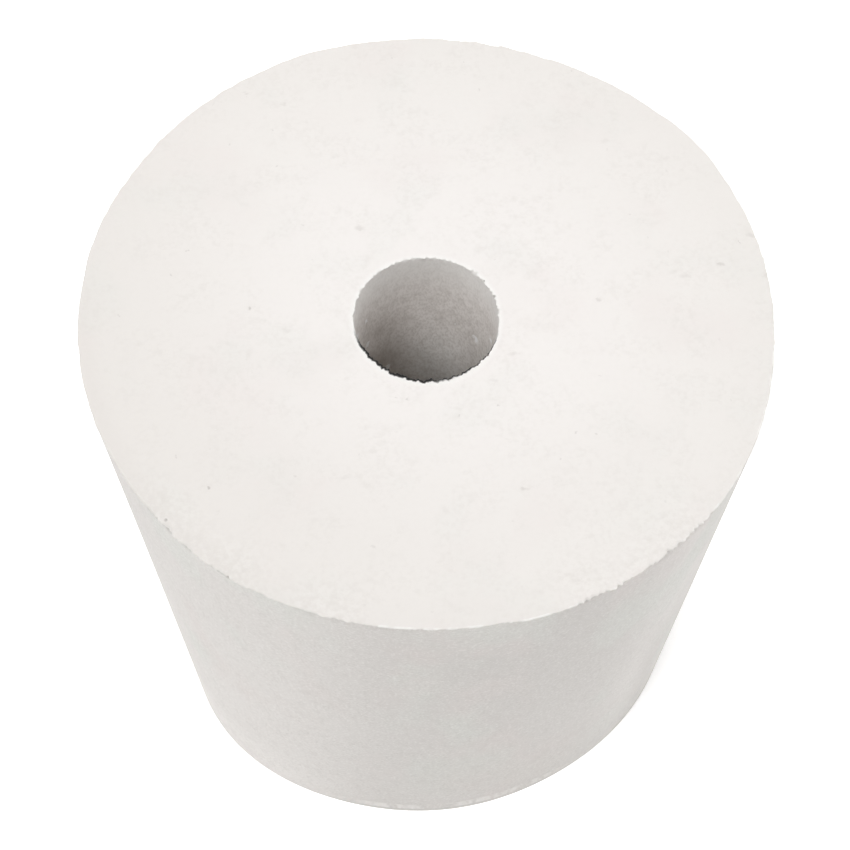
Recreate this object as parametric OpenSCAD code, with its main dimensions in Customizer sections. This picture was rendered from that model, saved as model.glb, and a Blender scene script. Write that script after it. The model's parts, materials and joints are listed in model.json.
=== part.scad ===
// One-hole stopper of solid white rubber, moulded in one piece: a straight taper with a round hole
// from end to end. It stands on its small end, whose face is at z = 0, and the hole's axis is Z.
// Sizes are in millimetres.

/* [Body] */
// Diameter of the big end, where the taper meets its face
top_d = 33; // [24:0.5:60]
// Diameter of the small end, where the taper meets its face
bottom_d = 27; // [18:0.5:54]
// Height between the two flat ends
height = 27.5; // [15:0.5:60]

/* [Hole] */
// Diameter of the hole, the same all the way through
bore_d = 7; // [3:0.5:12]

/* [Edges] */
// Radius of the big end's rim
rim_r = 0.15; // [0.1:0.05:1]
// How far the rim stands out from the taper, where the mould parts
rim_out = 0.03; // [0.01:0.01:0.08]
// How far the lip round the small end stands out from the taper
lip_out = 0.12; // [0.02:0.02:0.4]
// Height of the lip's upright edge
lip_edge_h = 0.25; // [0.05:0.05:0.6]
// Height of the slope that runs from the lip into the taper
lip_slope_h = 0.75; // [0.2:0.05:1.5]

/* [Hidden] */

top_r = top_d / 2;
bottom_r = bottom_d / 2;
taper_angle = atan2(top_r - bottom_r, height);
lip_top_z = lip_edge_h + lip_slope_h;

// Centre of the rim's round, which touches the top face and crosses the taper
rim_z = height - rim_r;
rim_x = taper_r(rim_z) - (rim_r - rim_out) / cos(taper_angle);

// How far a cut runs past the faces that it goes through
cut_over = 1;

$fn = 180;

// Radius of the bare taper at height z
function taper_r(z) = bottom_r + z * tan(taper_angle);

// Right half of the body's section
module section() {
    polygon([
        [0, 0],
        [bottom_r + lip_out, 0],
        [bottom_r + lip_out, lip_edge_h],
        [taper_r(lip_top_z), lip_top_z],
        [taper_r(rim_z), rim_z],
        [rim_x, height],
        [0, height]
    ]);
    // turned so that the circle's seam lies inside the body
    translate([rim_x, rim_z])
        rotate(180)
            circle(r = rim_r);
}

// The hole through the middle
module bore() {
    translate([0, 0, -cut_over])
        cylinder(d = bore_d, h = height + 2 * cut_over);
}

module stopper() {
    color([0.94, 0.925, 0.905])
        difference() {
            rotate_extrude()
                section();
            bore();
        }
}

stopper();
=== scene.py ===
import bpy
import bmesh
import json
import math
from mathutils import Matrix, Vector, noise


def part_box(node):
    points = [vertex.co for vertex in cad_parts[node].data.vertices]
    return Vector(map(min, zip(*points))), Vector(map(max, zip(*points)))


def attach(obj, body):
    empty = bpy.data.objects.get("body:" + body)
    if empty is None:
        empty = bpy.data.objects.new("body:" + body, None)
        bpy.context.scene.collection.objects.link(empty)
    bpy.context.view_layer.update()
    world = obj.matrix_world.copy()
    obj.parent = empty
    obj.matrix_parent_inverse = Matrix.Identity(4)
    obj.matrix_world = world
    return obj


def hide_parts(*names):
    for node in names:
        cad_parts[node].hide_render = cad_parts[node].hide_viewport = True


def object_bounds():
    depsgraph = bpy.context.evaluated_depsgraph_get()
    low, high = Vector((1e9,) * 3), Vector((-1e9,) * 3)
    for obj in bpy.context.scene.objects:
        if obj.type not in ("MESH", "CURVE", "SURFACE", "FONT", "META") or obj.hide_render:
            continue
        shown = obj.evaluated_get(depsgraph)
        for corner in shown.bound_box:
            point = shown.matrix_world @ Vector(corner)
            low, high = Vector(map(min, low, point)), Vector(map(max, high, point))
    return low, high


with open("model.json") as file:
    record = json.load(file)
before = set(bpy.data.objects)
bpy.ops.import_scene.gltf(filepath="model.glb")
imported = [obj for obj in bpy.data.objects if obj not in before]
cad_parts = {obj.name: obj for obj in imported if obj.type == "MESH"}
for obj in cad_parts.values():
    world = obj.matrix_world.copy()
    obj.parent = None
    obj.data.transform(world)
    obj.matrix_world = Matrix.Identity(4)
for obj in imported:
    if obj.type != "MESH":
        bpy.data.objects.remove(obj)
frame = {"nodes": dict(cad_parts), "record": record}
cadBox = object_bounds()
mounts = {mount["name"]: mount for mount in frame["record"]["mounts"]}

metre = 1000.0  # millimetres in a metre; shapes and patterns are worked out in millimetres
tiny = 1e-3  # mm; points closer than this are in one place
fullTurn = 2 * math.pi
white = (1, 1, 1, 1)


def linearColour(code):  # an sRGB hex value as the linear colour that the shaders take
    channels = [int(code[i:i + 2], 16) / 255 for i in (1, 3, 5)]
    linear = [c / 12.92 if c <= 0.04045 else ((c + 0.055) / 1.055) ** 2.4 for c in channels]
    return (*linear, 1.0)


def addNode(tree, kind, settings=None, links=None):
    node = tree.nodes.new(kind)
    for name, value in (settings or {}).items():
        if isinstance(name, int) or name in node.inputs:
            node.inputs[name].default_value = value
        else:
            setattr(node, name, value)
    for name, source in (links or {}).items():
        tree.links.new(source, node.inputs[name])
    return node


def emptyTree(owner):  # the nodes of a material or a world, with nothing in them yet
    owner.use_nodes = True
    owner.node_tree.nodes.clear()
    return owner.node_tree


def placeObject(name, data):
    obj = bpy.data.objects.new(name, data)
    bpy.context.scene.collection.objects.link(obj)
    return obj


def meshFrom(bm, name):
    mesh = bpy.data.meshes.new(name)
    bm.to_mesh(mesh)
    bm.free()
    return mesh


# A long lens that looks down on the big end from the front
camera = {
    "lens": 121.03,  # mm
    "sensor": 36.0,  # mm
    "nearest": 0.01,  # metres, closer than anything it looks at
    "back": 73.2,  # mm in front of the stopper's axis
    "above": 113.32,  # mm over the big end's face
    "pitch": 59.33,  # degrees below the horizontal
    "turn": 0.083,  # degrees to the left
}


def makeCamera():
    data = bpy.data.cameras.new("camera")
    data.lens = camera["lens"]
    data.sensor_width = camera["sensor"]
    data.clip_start = camera["nearest"]
    obj = placeObject("camera", data)
    obj.location = (0, -camera["back"] / metre, cadBox[1].z + camera["above"] / metre)
    obj.rotation_euler = (math.radians(90 - camera["pitch"]), 0, math.radians(camera["turn"]))
    bpy.context.scene.camera = obj


# The stopper. Angles run from +X towards +Y, so the camera is at -90 degrees.
stopper = {
    "segments": 360,  # round the axis
    "rimCuts": 5,  # more cuts in each segment beside the torn rim
    "mouthCuts": 2,
    "edgeBand": 0.6,  # mm, the finer strip on both sides of each torn edge
    "rimRound": 0.06,  # mm, the small rounds of the edges
    "mouthRound": 0.04,
    "footRound": 0.04,
    "roundFaces": 2,  # faces across each round
    "sharpFrom": 40,  # degrees that two faces turn by, above which their edge stays sharp
    "lipOut": 0.19,  # mm from the wall to the face of the lip round the foot
    "lipStep": 0.09,  # mm of that in the lip's short upper slope
    # mm up: top of its upright edge, of its slope, of the hollow over it, and where the wall is straight
    "lipHeights": (0.24, 0.5, 0.8, 0.95),
    "lipSpans": [(-83, 25), (70, 24), (158, 16)],  # where the lip is full: its middle and half width
    # out of round, as soft rubber leaves its mould: lobes, mm out, degrees of the first lobe
    "rimLobes": [(2, 0.113, -57), (4, 0.049, 44), (5, 0.057, 35), (6, 0.019, 21)],
    "footLobes": [(0, -0.092, 0), (1, 0.082, -177), (2, 0.14, 45.5), (3, 0.126, 1), (4, 0.054, -36),
                  (5, 0.126, 13.6), (6, 0.105, -27.5)],
    "holeLobes": [(0, -0.033, 0), (2, 0.037, -66), (3, 0.02, 54), (4, 0.011, 34)],
    "holeShift": (-0.039, -0.206),  # mm, the hole's mouth from the middle of the big end
    "swellSize": 6.0,  # mm between the soft swells of the moulded faces
    "swellDepth": 0.008,
    "swellFull": 2.0,  # mm up, where they reach that depth; the foot stays flat
    "spanFade": (0.6, 1.4),  # of a span's half width: where it starts to fade and where it is gone
    "nickFade": (0.4, 1.3),  # the same for a nick, of its width
    "droop": 0.5,  # how far an edge sinks for each mm that it is torn back
    "markReach": 3.0,  # mm from a torn edge up to which the rubber knows how near it is
    "rimTear": {
        "toothSize": 0.2,  # mm between the torn teeth, and between the slower waves that they ride on
        "waveSize": 0.7,
        "even": (0.015, 0.035),  # mm that the teeth and the waves go in where the rim is whole
        # more ragged stretches: middle and half width in degrees, mm added to the teeth and to the waves
        "ragged": [(-130, 13, 0.06, 0.13), (-106, 6, 0.04, 0.16), (-62, 5, 0.15, 0.06), (-54, 3, 0.08, 0.02),
                   (-46, 6, 0.17, 0.05), (15, 12, 0.02, 0.03), (75, 14, 0.02, 0.03), (140, 16, 0.02, 0.03)],
        "band": 0.2,  # mm on both sides of the edge that the tear reaches
        "seeds": (10, 16),  # of the teeth and of the waves
        # the ridge that the mould's parting leaves on the rim: mm high, its usual share of that, mm between
        # its swells, how far up it points, mm from the edge where it starts to fade and where it is gone
        "bead": {"high": 0.015, "usual": 0.6, "size": 0.8, "seed": 21, "up": 0.7, "fade": (0.05, 0.14)},
        # flash left on the rim: middle and half width in degrees, mm out
        "flash": [(-70.5, 6, 0.15), (-61.5, 3.5, 0.06), (-84, 6, 0.05), (-98, 14, -0.035), (-127, 7, 0.05),
                  (-46, 6, -0.04), (38, 7, 0.08), (112, 5, 0.06), (163, 8, 0.07)],
        "flashFade": (0.15, 0.4),  # mm from the edge
        # single nicks: degrees, mm below the edge or (negative) in from it on the end, mm across, mm deep
        "nicks": [(-137, -0.25, 0.08, 0.04), (-122.6, 0.12, 0.13, 0.12)],
    },
    "mouthTear": {
        "toothSize": 0.15,
        "waveSize": 0.35,
        "even": (0.085, 0.07),
        "ragged": [(-165, 15, -0.07, -0.05), (-15, 15, -0.07, -0.05)],  # less ragged at the two sides
        "band": 0.2,
        "seeds": (12, 18),
        "fringe": [(-100, 62, 0.12)],  # torn shreds that hang into the hole
        "fringeFade": (0.03, 0.1),
        "nicks": [(-35, 0.0, 0.08, 0.06), (22, 0.0, 0.1, 0.04), (38.5, 0.0, 0.07, 0.05)],
    },
}


def smooth(low, high, value):
    t = min(max((value - low) / (high - low), 0.0), 1.0)
    return t * t * (3 - 2 * t)


def apart(one, other):  # degrees between two angles in degrees
    return abs((one - other + 180) % 360 - 180)


def inSpan(degrees, middle, half):  # 1 in the span, falling to 0 just outside it
    start, end = stopper["spanFade"]
    return 1 - smooth(start * half, end * half, apart(degrees, middle))


def lobes(table, angle):
    return sum(out * math.cos(count * (angle - math.radians(at))) for count, out, at in table)


def ringNoise(angle, radius, size, seed):  # runs round a ring and meets itself
    return noise.noise(Vector((radius * math.cos(angle) / size, radius * math.sin(angle) / size, seed)))


def wallRadius(z, rim, foot, height):  # the taper above the lip
    start = foot - stopper["lipOut"]
    return start + (rim - start) * z / height


def tornBack(tear, angle, radius):  # mm that a torn edge stands back from its true line
    degrees = math.degrees(angle)
    teeth, waves = tear["even"]
    for middle, half, moreTeeth, moreWaves in tear["ragged"]:
        teeth += moreTeeth * inSpan(degrees, middle, half)
        waves += moreWaves * inSpan(degrees, middle, half)
    toothSeed, waveSeed = tear["seeds"]
    return (teeth * ringNoise(angle, radius, tear["toothSize"], toothSeed)
            + waves * ringNoise(angle, radius, tear["waveSize"], waveSeed))


def isRing(edge, keep):  # an edge that runs round the axis, where keep allows its radius and height
    a, b = (v.co for v in edge.verts)
    level = abs(a.z - b.z) < tiny and abs(a.xy.length - b.xy.length) < tiny
    return level and keep(a.xy.length, a.z)


def spinBody(rim, foot, hole, height):
    band = stopper["edgeBand"]
    edgeTop, slopeTop, hollowTop, wallStart = stopper["lipHeights"]
    # half section from the hole's lower mouth round to itself: radius, z, cuts on the way to the next
    section = [
        (hole, 0, 3), (hole, band, 13), (hole, height - band, 7),
        (hole, height, 7), (hole + band, height, 13), (rim - band, height, 8),
        (rim, height, 8), (wallRadius(height - band, rim, foot, height), height - band, 27),
        (wallRadius(wallStart, rim, foot, height), wallStart, 0),
        (wallRadius(hollowTop, rim, foot, height), hollowTop, 2),
        (foot - stopper["lipStep"], slopeTop, 2), (foot, edgeTop, 1),
        (foot, 0, 2), (foot - band, 0, 5), (hole + band, 0, 3),
    ]
    bm = bmesh.new()
    corners = [bm.verts.new((radius, 0, z)) for radius, z, cuts in section]
    sides = [bm.edges.new((corners[i - 1], corners[i])) for i in range(len(corners))]
    for i, (radius, z, cuts) in enumerate(section):
        if cuts:
            bmesh.ops.bisect_edges(bm, edges=[sides[(i + 1) % len(sides)]], cuts=cuts)
    bmesh.ops.spin(bm, geom=bm.verts[:] + bm.edges[:], cent=(0, 0, 0), axis=(0, 0, 1),
                   angle=fullTurn, steps=stopper["segments"], use_merge=True)
    bmesh.ops.remove_doubles(bm, verts=bm.verts, dist=tiny)
    bmesh.ops.recalc_face_normals(bm, faces=bm.faces)

    top = height - band - tiny
    nearRim = [e for e in bm.edges if isRing(e, lambda r, z: z > top and r > rim - band - tiny)]
    nearMouth = [e for e in bm.edges if isRing(e, lambda r, z: z > top and r < hole + band + tiny)]
    bmesh.ops.subdivide_edges(bm, edges=nearRim, cuts=stopper["rimCuts"])
    bmesh.ops.subdivide_edges(bm, edges=nearMouth, cuts=stopper["mouthCuts"])
    dip = 0.02  # mm, more than a cut segment lies inside its ring
    for offset, radius, level in ((stopper["rimRound"], rim, height), (stopper["mouthRound"], hole, height),
                                  (stopper["footRound"], foot, 0)):
        edges = [e for e in bm.edges
                 if isRing(e, lambda r, z: abs(r - radius) < dip and abs(z - level) < tiny)]
        bmesh.ops.bevel(bm, geom=edges, offset=offset, offset_type="OFFSET", affect="EDGES",
                        segments=stopper["roundFaces"], profile=0.5, material=-1)
    return bm


# Moves each point from the true turned shape to the real, slightly uneven one, and writes on it how
# far it lies from the torn edges and which face it belongs to, for the rubber to follow
def wearBody(bm, rim, foot, hole, height):
    rimTear, mouthTear, droop = stopper["rimTear"], stopper["mouthTear"], stopper["droop"]
    bead = rimTear["bead"]
    layer = {name: bm.verts.layers.float.new(name) for name in rubber["marks"]}
    bm.normal_update()
    for v in bm.verts:
        radius = v.co.xy.length
        z = v.co.z
        angle = math.atan2(v.co.y, v.co.x)
        degrees = math.degrees(angle)
        up = z / height
        outward = Vector((math.cos(angle), math.sin(angle), 0))
        wall = wallRadius(z, rim, foot, height)
        share = smooth(hole, wall, radius)  # 0 at the hole's wall, 1 at the outside
        lip = max(inSpan(degrees, middle, half) for middle, half in stopper["lipSpans"])
        onSide = radius > wall - tiny
        move = v.normal * stopper["swellDepth"] * noise.noise(v.co / stopper["swellSize"])
        move *= smooth(0, stopper["swellFull"], z)
        move += outward * share * lobes(stopper["rimLobes"], angle) * up
        move += outward * share * lobes(stopper["footLobes"], angle) * (1 - up)
        if onSide:  # where there is no lip, the wall runs straight down to the foot
            move += outward * (1 - lip) * (foot + (rim - foot) * up - radius)
        move += outward * (1 - share) * lobes(stopper["holeLobes"], angle)
        move += Vector((*stopper["holeShift"], 0)) * (1 - share) * up

        toRim = math.hypot(radius - rim, z - height)
        toMouth = math.hypot(radius - hole, z - height)
        if toRim < rimTear["flashFade"][1]:
            flash = sum(out * inSpan(degrees, middle, half) for middle, half, out in rimTear["flash"])
            move += outward * flash * (1 - smooth(*rimTear["flashFade"], toRim))
        if toRim < rimTear["band"]:
            back = tornBack(rimTear, angle, rim) * (1 - smooth(0, rimTear["band"], toRim))
            ridge = bead["high"] * (bead["usual"] + ringNoise(angle, rim, bead["size"], bead["seed"]))
            ridge *= 1 - smooth(*bead["fade"], toRim)
            move += (outward + Vector((0, 0, bead["up"]))) * ridge
            move -= outward * back + Vector((0, 0, back * droop))
        if toMouth < mouthTear["band"]:
            back = tornBack(mouthTear, angle, hole) * (1 - smooth(0, mouthTear["band"], toMouth))
            shreds = max(out * inSpan(degrees, middle, half) for middle, half, out in mouthTear["fringe"])
            back -= shreds * (1 - smooth(*mouthTear["fringeFade"], toMouth))
            move += outward * back - Vector((0, 0, back * droop))
        nicked = 0.0
        for tear, edge, inward in ((rimTear, rim, -1), (mouthTear, hole, 1)):
            for at, below, across, deep in tear["nicks"]:
                along = math.radians(apart(degrees, at)) * edge
                inFrom = radius - edge - inward * max(-below, 0)
                gap = math.hypot(along, inFrom, height - z - max(below, 0))
                dent = 1 - smooth(*stopper["nickFade"], gap / across)
                nicked = max(nicked, dent)
                move += outward * inward * deep * dent
        v[layer["toRim"]] = min(toRim, stopper["markReach"])
        v[layer["toMouth"]] = min(toMouth, stopper["markReach"])
        v[layer["inHole"]] = 1.0 if radius < hole + tiny else 0.0
        v[layer["onSide"]] = 1.0 if onSide and z < height - tiny else 0.0
        v[layer["ragged"]] = max(inSpan(degrees, *span[:2]) for span in rimTear["ragged"])
        v[layer["onLip"]] = lip
        v[layer["nicked"]] = nicked
        v.co += move


def makeStopper():
    low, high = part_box("stopper")
    cadMesh = frame["nodes"]["stopper"].data
    height = (high.z - low.z) * metre
    rim = (high.x - low.x) / 2 * metre
    foot = max(v.co.xy.length for v in cadMesh.vertices if v.co.z < low.z + tiny / metre) * metre
    hole = mounts["bore"]["dims"]["r_mm"]
    bm = spinBody(rim, foot, hole, height)
    print("stopper: spun", len(bm.verts), "points")
    wearBody(bm, rim, foot, hole, height)
    bmesh.ops.scale(bm, vec=(1 / metre,) * 3, verts=bm.verts)
    bmesh.ops.translate(bm, vec=(0, 0, low.z), verts=bm.verts)
    mesh = meshFrom(bm, "stopper")
    mesh.shade_smooth()
    mesh.set_sharp_from_angle(angle=math.radians(stopper["sharpFrom"]))
    print("stopper: torn edges and lip shaped")
    return placeObject("moulded_stopper", mesh)


# White natural rubber, moulded and then handled: dull, with a fine pebbled grain that shows most on the side,
# faint smudges and a few dark pits, and edges that stay whiter where the flash was torn off. Its colour also
# holds painted light and shade: paler round the hole and in the hole, greyer towards the rim and the left,
# darker on the side and deep in the hole, with painted highlight on the front rim and the lip and a painted
# shadow line along the front of the mouth.
rubber = {
    "body": "#EBE7E3",
    "paintedLight": "#F0ECE9",  # painted light: round the hole, and low on the left of the side
    "handledAndPaintedShade": "#DCD7D2",  # grey in the grain, and painted shade on the end towards the rim, the front and the left
    "paintedShade": "#C5C1BD",  # painted shade of the side, darkest up it
    "pink": "#E8E0DD",
    "green": "#E1E2DD",
    # the pink and green clouds in the side's painted shade
    "pinkInPaintedShade": "#CFC8C4",
    "greenInPaintedShade": "#CCCDC7",
    "grit": "#B2ADA8",
    # paler: the rubbed grain of the ragged rim, and painted light and highlight on edges, the lip and in the
    # hole
    "rubbedAndPaintedLight": "#F4F2EF",
    # dark pits and specks, and painted shade in the nicks
    "pitAndPaintedShade": "#857D76",
    "smudge": "#B9B2AC",
    "fleck": "#F6F5F2",
    "dust": "#FFFFFF",
    # grain and mottling of the hole, and painted shade deep in it
    "stainAndPaintedShade": "#A39B92",
    "brown": "#93837A",  # one soft spot left in the hole
    # near black: a painted shadow line along the front of the mouth
    "paintedShadow": "#0D0B0A",
    "roughness": 0.78,
    "roughSpread": 0.05,  # more and less than that, with the grain
    "grainRange": (0.3, 0.7),  # the least and the most that the grain's pattern reaches
    "ior": 1.52,
    "sheen": 0.1,
    "bump": 0.3,
    "bumpDepth": 0.02,  # mm
    "leftIs": (-0.87, -0.5, 0),  # the way towards the left, a little to the front, along which painted light and shade change
    "stainAt": (-2.2, 2.8, 22.4),  # mm
    "paintedShadowWander": 0.05,  # mm that the painted shadow line at the mouth wanders
    "marks": ["toRim", "toMouth", "inHole", "onSide", "nicked", "ragged", "onLip"],  # set on the mesh
    "dotLeast": 0.3,  # the smallest dot's share of the biggest one's radius
    "dotCore": 0.3,  # the share of a dot's radius that is at full strength
    "dotTurn": (0.3, 0.5, 0.6),  # radians, so that the dots' cells lie across the axes
    "dotWarp": (0.3, 3.0, 0.45),  # what bends their cells: mm between its spots, detail, mm that it moves
    # soft uneven patterns: mm between spots, detail, stretch
    "noises": {
        "topGrain": (0.2, 2.0, (1, 1, 1)),
        "sideGrain": (0.13, 1.5, (1, 1, 1)),
        "boreGrain": (0.11, 3.0, (1, 1, 0.5)),  # drawn out along the hole by the pin that moulded it
        "mottle": (0.45, 2.0, (1, 1, 0.7)),
        "breaks": (0.7, 3.0, (1, 1, 1)),  # gaps in the white of the worn rim
        "paintedShadowWobble": (0.15, 1.0, (1, 1, 1)),  # the wander of the painted shadow line at the mouth
        "busy": (2.2, 2.0, (1, 1, 0.5)),  # where the grain is stronger
        "pinkPatches": (5.0, 3.0, (1, 1, 0.5)),
        "greenPatches": (4.4, 3.0, (1, 1, 0.5)),
    },
    # spots of all sizes, a few strong and most faint: mm apart, mm radius, stretch, strength
    "dots": {
        "pits": (1.6, 0.15, (1, 0.8, 1), 0.36),
        "smudges": (1.5, 0.24, (0.55, 1, 0.8), 0.4),
        "specks": (1.0, 0.1, (1, 0.6, 1), 0.36),
        "flecks": (1.0, 0.05, (1.3, 0.9, 1.1), 0.9),
        "boreFlecks": (1.2, 0.3, (1, 1, 0.7), 5),
    },
    # A fade is what it follows, two of its values, and the strength at the first and at the second
    "fades": {
        "onTop": ("depth", 0.06, 0.01, 0, 1),
        "nearSide": ("y", -0.5, -2, 0, 1),
        "inFront": ("y", 2, -6, 0, 1),
        "nearRim": ("toRim", 2.5, 0.3, 0, 1),
        "busyness": ("busy", 0.4, 0.6, 0.2, 1),
    },
    # coats of colour from the lowest up, each with the marks, patterns and fades whose product places it
    "coats": [
        # tones, painted light and shade rather than the rubber's own: whiter round the hole, greyer towards
        # the rim, the front and the left, and greyest up the side, where it is paler low on the left; pink
        # and green clouds, on the side in its painted shade
        ("paintedLight", [("radius", 16, 4, 0, 1)]),
        # painted shade: the end greyer towards the left, the rim and the front
        ("handledAndPaintedShade", [("left", 0, 17, 0, 0.3), "onTop"]),
        ("handledAndPaintedShade", [("toRim", 3, 0.1, 0, 0.08), "onTop"]),
        ("handledAndPaintedShade", [("y", -3, -9, 0, 0.08), ("radius", 15, 12, 0, 1), "onTop"]),
        ("handledAndPaintedShade", [("toRim", 1.2, 0.3, 0, 0.22), ("left", 12, 15, 0, 1), "onTop"]),
        # painted shade: the side darker up the wall, and low on the right
        ("paintedShade", [("z", 1, 26, 0.78, 0.97), ("left", 8, 13, 1, 0.78), ("left", -1, -6, 1, 0.64), "onSide"]),
        ("paintedShade", [("z", 10, 1.5, 0, 0.35), ("left", 8, -4, 0, 1), "onSide"]),
        ("paintedShade", [("z", 20, 8, 0, 0.8), ("left", -3.5, -5.5, 0, 1), "onSide"]),
        # painted light low on the left of the side
        ("paintedLight", [("z", 6, 1, 0, 0.3), ("left", 9, 13, 0, 1), "onSide"]),
        ("pink", [("pinkPatches", 0.5, 0.72, 0, 0.3), ("onSide", 0, 1, 1, 0)]),
        ("green", [("greenPatches", 0.5, 0.72, 0, 0.2), ("onSide", 0, 1, 1, 0)]),
        # the side's pink and green clouds, in its painted shade
        ("pinkInPaintedShade", [("pinkPatches", 0.48, 0.66, 0, 0.6), "onSide"]),
        ("greenInPaintedShade", [("greenPatches", 0.48, 0.66, 0, 0.6), ("z", 2, 9, 0.35, 1), "onSide"]),
        # grain and mottling of the big end, finer and stronger where its rim is ragged
        ("handledAndPaintedShade", [("topGrain", 0.4, 0.75, 0, 0.23), "busyness", "onTop"]),
        ("handledAndPaintedShade", [("mottle", 0.5, 0.75, 0, 0.2), "busyness", "onTop"]),
        ("handledAndPaintedShade", [("topGrain", 0.45, 0.65, 0, 0.2), "nearRim", "ragged", "inFront", "onTop"]),
        ("rubbedAndPaintedLight", [("topGrain", 0.5, 0.35, 0, 0.15), "nearRim", "ragged", "inFront", "onTop"]),
        ("handledAndPaintedShade", [("mottle", 0.45, 0.65, 0, 0.2), "nearRim", "ragged", "inFront", "onTop"]),
        # grain of the side
        ("grit", [("mottle", 0.45, 0.7, 0, 0.13), "onSide"]),
        ("grit", [("sideGrain", 0.48, 0.25, 0, 0.33), ("busy", 0.35, 0.55, 0.4, 1), "onSide"]),
        ("fleck", [("sideGrain", 0.5, 0.75, 0, 0.2), "onSide"]),
        # pale and dark edges: painted light round the mouth, a white line along the front rim that is the
        # whiter torn edge and painted highlight, and on the lip a painted highlight over painted shade
        ("rubbedAndPaintedLight", [("toMouth", 0.3, 0.05, 0, 0.8), "onTop"]),
        ("rubbedAndPaintedLight", [("toRim", 0.1, 0.05, 0, 1), ("breaks", 0.45, 0.6, 0, 1), ("ragged", 0.8, 0.1, 0.3, 1),
                    ("left", 14.5, 12.5, 0, 1), "nearSide"]),
        ("rubbedAndPaintedLight", [("z", 0.75, 0.45, 0, 1), ("z", 0.2, 0.3, 0, 1), ("mottle", 0.35, 0.6, 0.1, 0.5), "onLip",
                    "onSide"]),
        # painted shade on the lip's upright edge
        ("paintedShade", [("z", 0.3, 0.24, 0, 0.5), "onLip", "onSide"]),
        ("smudge", ["smudges", "onTop"]),
        ("pitAndPaintedShade", ["specks", "onTop"]),
        ("pitAndPaintedShade", ["pits", ("onSide", 0, 1, 1, 0.3)]),
        ("fleck", ["flecks"]),
        # down the hole: painted light, grain and mottling, painted shade deep on both sides, a brown spot and
        # pale flecks
        # painted light: the hole paler near the mouth and low in its middle
        ("rubbedAndPaintedLight", [("depth", 3, 0, 0, 0.9), "inHole"]),
        ("rubbedAndPaintedLight", [("depth", 6.2, 8.5, 0, 0.9), ("left", -0.4, -1.4, 0, 1), ("left", -3.2, -2.3, 0, 1),
                    "inHole"]),
        ("stainAndPaintedShade", [("boreGrain", 0.4, 0.65, 0, 0.27), ("depth", 0, 4, 0.3, 1), ("depth", 6, 9, 1, 0.8),
                   "inHole"]),
        ("stainAndPaintedShade", [("mottle", 0.4, 0.7, 0, 0.18), ("depth", 0, 3, 0.25, 1), "inHole"]),
        ("dust", [("boreGrain", 0.6, 0.4, 0, 0.12), ("depth", 5, 8, 0, 1), "inHole"]),
        # painted shade deep in the hole, a little on the right and fully on the left
        ("stainAndPaintedShade", [("left", -2.6, -3.5, 0, 0.22), ("depth", 4, 7, 0, 1), "inHole"]),
        ("stainAndPaintedShade", [("left", -1.2, 1.8, 0, 1), ("depth", 5.8, 8.8, 0, 1), "inHole"]),
        ("brown", [("fromStain", 2.0, 0.2, 0, 0.14), ("mottle", 0.3, 0.6, 0.6, 1), "inHole"]),
        ("dust", ["boreFlecks", ("depth", 1, 3, 0, 1), "inHole"]),
        # a painted shadow line along the torn mouth at the front, wider on the left
        ("paintedShadow", [("paintedShadowReach", 0.087, 0.062, 0, 1), "nearSide"]),
        ("paintedShadow", [("paintedShadowReach", 0.105, 0.08, 0, 1), ("left", 0.3, 1.8, 0, 1), "nearSide"]),
        # painted shade in the nicks
        ("pitAndPaintedShade", ["nicked", ("topGrain", 0.2, 0.5, 0.4, 0.6)]),
    ],
}


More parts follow.
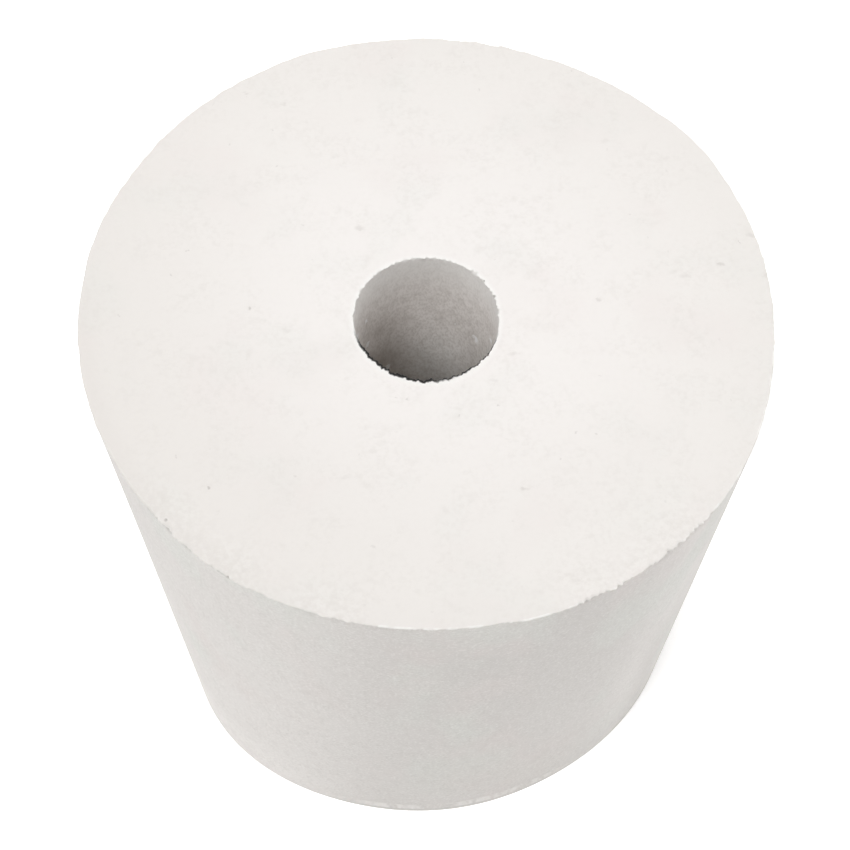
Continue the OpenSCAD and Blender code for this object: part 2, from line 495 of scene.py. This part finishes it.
def makeRubber(height):
    material = bpy.data.materials.new("moulded_white_rubber")
    tree = emptyTree(material)
    place = addNode(tree, "ShaderNodeTexCoord")
    inMm = addNode(tree, "ShaderNodeMapping", {"Scale": (metre, metre, metre)}, {0: place.outputs["Object"]})
    spot = inMm.outputs[0]
    axes = addNode(tree, "ShaderNodeSeparateXYZ", links={0: spot})
    depth = addNode(tree, "ShaderNodeMath", {"operation": "SUBTRACT", 0: height}, {1: axes.outputs["Z"]})
    fromAxis = addNode(tree, "ShaderNodeVectorMath", {"operation": "MULTIPLY", 1: (1, 1, 0)}, {0: spot})
    radius = addNode(tree, "ShaderNodeVectorMath", {"operation": "LENGTH"}, {0: fromAxis.outputs[0]})
    toLeft = addNode(tree, "ShaderNodeVectorMath",
                     {"operation": "DOT_PRODUCT", 1: rubber["leftIs"]}, {0: spot})
    fromStain = addNode(tree, "ShaderNodeVectorMath",
                        {"operation": "DISTANCE", 1: rubber["stainAt"]}, {0: spot})
    values = {"y": axes.outputs["Y"], "z": axes.outputs["Z"], "depth": depth.outputs[0],
              "radius": radius.outputs["Value"], "left": toLeft.outputs["Value"],
              "fromStain": fromStain.outputs["Value"]}
    for name in rubber["marks"]:
        values[name] = addNode(tree, "ShaderNodeAttribute", {"attribute_name": name}).outputs["Fac"]

    for name, (size, detail, stretch) in rubber["noises"].items():
        drawn = addNode(tree, "ShaderNodeMapping", {"Scale": stretch}, {0: spot})
        pattern = addNode(tree, "ShaderNodeTexNoise", {"Scale": 1 / size, "Detail": detail},
                          {"Vector": drawn.outputs[0]})
        values[name] = pattern.outputs[0]

    # the dots lie in cells whose walls are warped, so that no two dots are alike
    warpSize, warpDetail, warpBy = rubber["dotWarp"]
    warp = addNode(tree, "ShaderNodeTexNoise", {"Scale": 1 / warpSize, "Detail": warpDetail},
                   {"Vector": spot})
    shift = addNode(tree, "ShaderNodeVectorMath", {"operation": "SCALE", "Scale": warpBy},
                    {0: warp.outputs["Color"]})
    wobbly = addNode(tree, "ShaderNodeVectorMath", {"operation": "ADD"}, {0: spot, 1: shift.outputs[0]})
    for name, (spacing, dotRadius, stretch, strength) in rubber["dots"].items():
        biggest = dotRadius / spacing
        turned = addNode(tree, "ShaderNodeMapping", {"Scale": stretch, "Rotation": rubber["dotTurn"]},
                         {0: wobbly.outputs[0]})
        cells = addNode(tree, "ShaderNodeTexVoronoi", {"Scale": 1 / spacing}, {"Vector": turned.outputs[0]})
        chance = addNode(tree, "ShaderNodeSeparateXYZ", links={0: cells.outputs["Color"]})
        reach = addNode(tree, "ShaderNodeMapRange",
                        {"To Min": rubber["dotLeast"] * biggest, "To Max": biggest},
                        {"Value": chance.outputs["Y"]})
        outFrom = addNode(tree, "ShaderNodeMath", {"operation": "DIVIDE"},
                          {0: cells.outputs["Distance"], 1: reach.outputs[0]})
        inside = addNode(tree, "ShaderNodeMapRange",
                         {"interpolation_type": "SMOOTHSTEP", "From Min": rubber["dotCore"],
                          "From Max": 1.0, "To Min": strength, "To Max": 0.0},
                         {"Value": outFrom.outputs[0]})
        faint = addNode(tree, "ShaderNodeMath", {"operation": "MULTIPLY"},
                        {0: inside.outputs[0], 1: chance.outputs["X"]})
        fainter = addNode(tree, "ShaderNodeMath", {"operation": "MULTIPLY"},
                          {0: faint.outputs[0], 1: chance.outputs["X"]})
        values[name] = fainter.outputs[0]

    wander = addNode(tree, "ShaderNodeMath", {"operation": "MULTIPLY_ADD", 1: rubber["paintedShadowWander"]},
                     {0: values["paintedShadowWobble"], 2: values["toMouth"]})
    values["paintedShadowReach"] = wander.outputs[0]

    # a coat can name a fade or hold one of its own
    fades = dict(rubber["fades"])
    for colourName, masks in rubber["coats"]:
        fades.update({mask: mask for mask in masks if isinstance(mask, tuple)})
    for name, (source, start, end, low, high) in fades.items():
        fade = addNode(tree, "ShaderNodeMapRange",
                       {"interpolation_type": "SMOOTHSTEP", "From Min": start, "From Max": end,
                        "To Min": low, "To Max": high}, {"Value": values[source]})
        values[name] = fade.outputs[0]

    colour = None
    for colourName, masks in rubber["coats"]:
        mask = values[masks[0]]
        for other in masks[1:]:
            product = addNode(tree, "ShaderNodeMath", {"operation": "MULTIPLY"}, {0: mask, 1: values[other]})
            mask = product.outputs[0]
        settings = {"data_type": "RGBA", 6: linearColour(rubber["body"]), 7: linearColour(rubber[colourName])}
        links = {0: mask} if colour is None else {0: mask, 6: colour}
        colour = addNode(tree, "ShaderNodeMix", settings, links).outputs[2]
    print("rubber: mixed", len(rubber["coats"]), "coats of colour")

    grain = addNode(tree, "ShaderNodeMath", {"operation": "ADD"},
                    {0: values["topGrain"], 1: values["sideGrain"]})
    sunk = addNode(tree, "ShaderNodeMath", {"operation": "SUBTRACT"},
                   {0: grain.outputs[0], 1: values["pits"]})
    bump = addNode(tree, "ShaderNodeBump",
                   {"Strength": rubber["bump"], "Distance": rubber["bumpDepth"] / metre},
                   {"Height": sunk.outputs[0]})
    grainLow, grainHigh = rubber["grainRange"]
    dull = addNode(tree, "ShaderNodeMapRange",
                   {"From Min": grainLow, "From Max": grainHigh,
                    "To Min": rubber["roughness"] - rubber["roughSpread"],
                    "To Max": rubber["roughness"] + rubber["roughSpread"]}, {"Value": values["topGrain"]})
    shader = addNode(tree, "ShaderNodeBsdfPrincipled",
                     {"IOR": rubber["ior"], "Sheen Weight": rubber["sheen"]},
                     {"Base Color": colour, "Roughness": dull.outputs[0], "Normal": bump.outputs[0]})
    addNode(tree, "ShaderNodeOutputMaterial", links={"Surface": shader.outputs[0]})
    return material


# White table lit from below in a white tent, a small key lamp over the front left, and three wide
# soft lights around
studio = {
    "floor": "#FAFAFA",
    "floorHalf": 1.5,  # metres from its middle to its sides
    "floorDrop": 0.02,  # mm under the stopper's foot, so that the two faces don't mix
    "floorRoughness": 0.9,
    "glow": 0.36,
    "ambient": 0.05,
    "tent": 0.45,  # metres, the radius of the white tent, which only the camera sees
    "tentFaces": (48, 24),  # round it and up it
    "reach": 0.8,  # metres from the stopper to each light
    "aim": 0.02,  # metres up, where the lights point
    # name: degrees round from +X, degrees up, metres across, watts
    "lights": {
        "key": (240, 58, 0.3, 3.05),
        "right": (0, 27, 0.8, 3.0),
        "left": (200, 26, 0.8, 1.65),
        "back": (90, 43, 0.8, 4.1),
    },
}


def makeLight(name, bearing, up, across, watts):
    data = bpy.data.lights.new(name, "AREA")
    data.shape = "DISK"
    data.size = across
    data.energy = watts
    obj = placeObject(name, data)
    aim = Vector((0, 0, studio["aim"]))
    turn, lift = math.radians(bearing), math.radians(up)
    away = Vector((math.cos(lift) * math.cos(turn), math.cos(lift) * math.sin(turn), math.sin(lift)))
    obj.location = aim + away * studio["reach"]
    obj.rotation_euler = away.to_track_quat("Z", "Y").to_euler()


def makeFloor():
    bm = bmesh.new()
    bmesh.ops.create_grid(bm, x_segments=1, y_segments=1, size=studio["floorHalf"])
    bmesh.ops.translate(bm, vec=(0, 0, cadBox[0].z - studio["floorDrop"] / metre), verts=bm.verts)
    floor = placeObject("floor", meshFrom(bm, "floor"))
    material = bpy.data.materials.new("pale_floor")
    tree = emptyTree(material)
    shader = addNode(tree, "ShaderNodeBsdfPrincipled",
                     {"Base Color": linearColour(studio["floor"]), "Roughness": studio["floorRoughness"],
                      "Emission Color": white, "Emission Strength": studio["glow"]})
    addNode(tree, "ShaderNodeOutputMaterial", links={"Surface": shader.outputs[0]})
    floor.data.materials.append(material)


def makeTent():
    bm = bmesh.new()
    around, upwards = studio["tentFaces"]
    bmesh.ops.create_uvsphere(bm, u_segments=around, v_segments=upwards, radius=studio["tent"])
    bmesh.ops.reverse_faces(bm, faces=bm.faces)
    tent = placeObject("tent", meshFrom(bm, "tent"))
    tent.visible_diffuse = False
    tent.visible_glossy = False
    tent.visible_transmission = False
    tent.visible_shadow = False
    material = bpy.data.materials.new("white_tent")
    material.cycles.emission_sampling = "NONE"
    tree = emptyTree(material)
    shader = addNode(tree, "ShaderNodeEmission", {"Color": white, "Strength": 1.0})
    addNode(tree, "ShaderNodeOutputMaterial", links={"Surface": shader.outputs[0]})
    tent.data.materials.append(material)


def makeStudio():
    world = bpy.data.worlds.new("studio")
    tree = emptyTree(world)
    sky = addNode(tree, "ShaderNodeBackground", {"Color": white, "Strength": studio["ambient"]})
    addNode(tree, "ShaderNodeOutputWorld", links={"Surface": sky.outputs[0]})
    bpy.context.scene.world = world
    makeFloor()
    makeTent()
    for name, values in studio["lights"].items():
        makeLight(name, *values)
    bpy.context.scene.view_settings.view_transform = "Standard"


makeCamera()
print("camera placed")
piece = makeStopper()
piece.data.materials.append(makeRubber((cadBox[1].z - cadBox[0].z) * metre))
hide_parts("stopper")
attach(piece, "root")
print("stopper made")
makeStudio()
print("studio lit")
